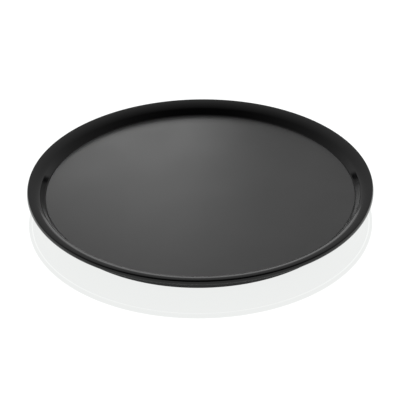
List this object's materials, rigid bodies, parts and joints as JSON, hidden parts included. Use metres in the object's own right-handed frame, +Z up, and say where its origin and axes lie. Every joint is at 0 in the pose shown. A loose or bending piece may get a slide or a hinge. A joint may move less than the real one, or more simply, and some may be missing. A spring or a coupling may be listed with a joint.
{
  "type": "serving tray",
  "caption": "Round black serving tray with a flared rim, a turned-down lip, a shallow flat well with a non-slip lining, and a raised foot ring.",
  "frame": {"origin": "centre of the circle that the foot ring stands on, at table level", "axes": "+Z up, along the axis of the tray; the tray is round, so +X and +Y are free"},
  "size_m": [0.4, 0.4, 0.0252],
  "materials": {
    "gloss_black": "polished black moulding",
    "satin_charcoal": "satin charcoal non-slip sheet",
    "steel": "drawn steel rod",
    "soft_black": "matt soft ring"
  },
  "bodies": {
    "root": {"tray_shell": "gloss_black", "well_lining": "satin_charcoal", "rim_hoop": "steel", "foot_grip_ring": "soft_black"}
  },
  "joints": []
}
